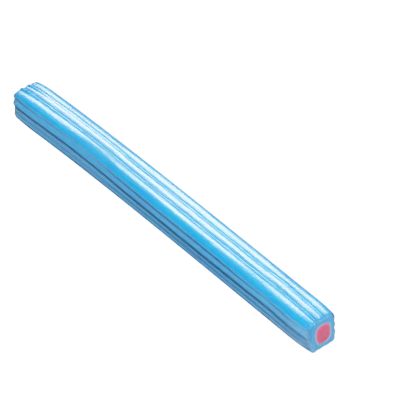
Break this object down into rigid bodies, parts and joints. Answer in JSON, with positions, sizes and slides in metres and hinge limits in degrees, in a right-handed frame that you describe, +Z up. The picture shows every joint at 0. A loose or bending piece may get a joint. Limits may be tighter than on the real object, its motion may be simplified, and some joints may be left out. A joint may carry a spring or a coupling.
{
  "type": "filled licorice stick",
  "caption": "Soft filled licorice stick: a glossy blue ribbed skin of nearly square section, slightly bowed, with pinched cut ends, round a pink core that runs right through.",
  "frame": {"origin": "middle of the base: halfway along the stick, in the plane of the surface it lies on", "axes": "+X along the stick, +Z up, +Y across it, towards the side to which it bows"},
  "size_m": [0.1872, 0.0154, 0.0151],
  "materials": {
    "skin": "glossy moist blue licorice, slightly translucent, fine lines along its length",
    "filling": "satin pink fondant-like filling, cut across"
  },
  "bodies": {
    "root": {"skin": "skin", "filling": "filling"}
  },
  "joints": []
}
